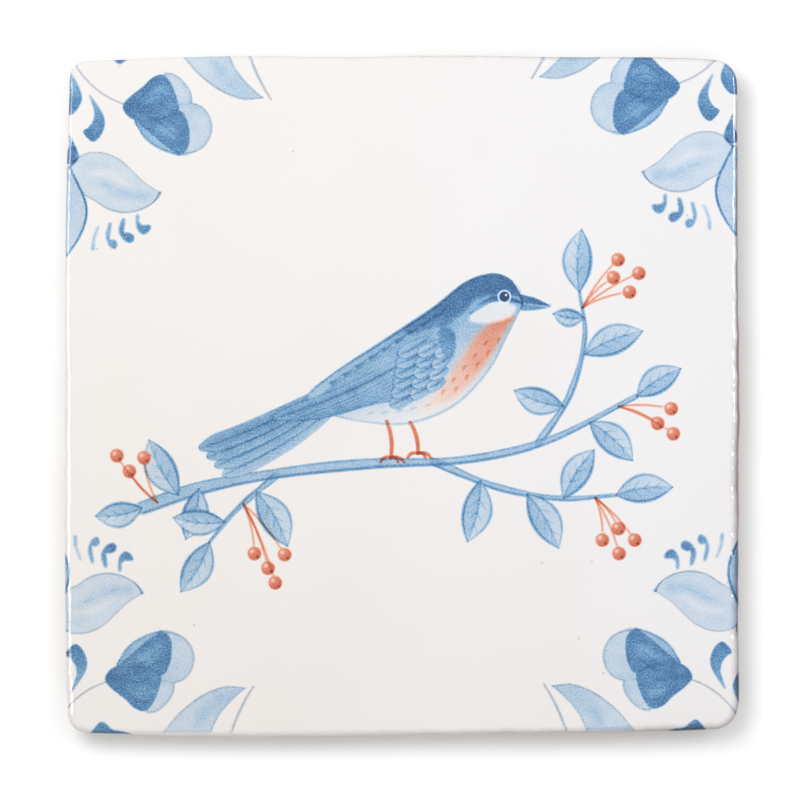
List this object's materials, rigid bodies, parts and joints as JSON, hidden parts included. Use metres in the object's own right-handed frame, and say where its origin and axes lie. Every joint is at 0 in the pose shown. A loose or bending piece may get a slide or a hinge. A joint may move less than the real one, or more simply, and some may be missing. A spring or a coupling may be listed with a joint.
{
  "type": "delft tile",
  "caption": "Square glazed wall tile with hand-cut wavy sides, rounded glazed edges and a flat back that is bedded on a wall.",
  "frame": {"origin": "on the flat back, under the middle of the tile's outline", "axes": "+Z out of the glazed face, +Y towards the top of the painted picture, +X towards its right side"},
  "size_m": [0.1298, 0.1307, 0.008],
  "materials": {
    "tin_glaze": "glossy warm white tin glaze with blue and coral painting over a buff clay body"
  },
  "bodies": {
    "root": {"delft_tile": "tin_glaze"}
  },
  "joints": []
}
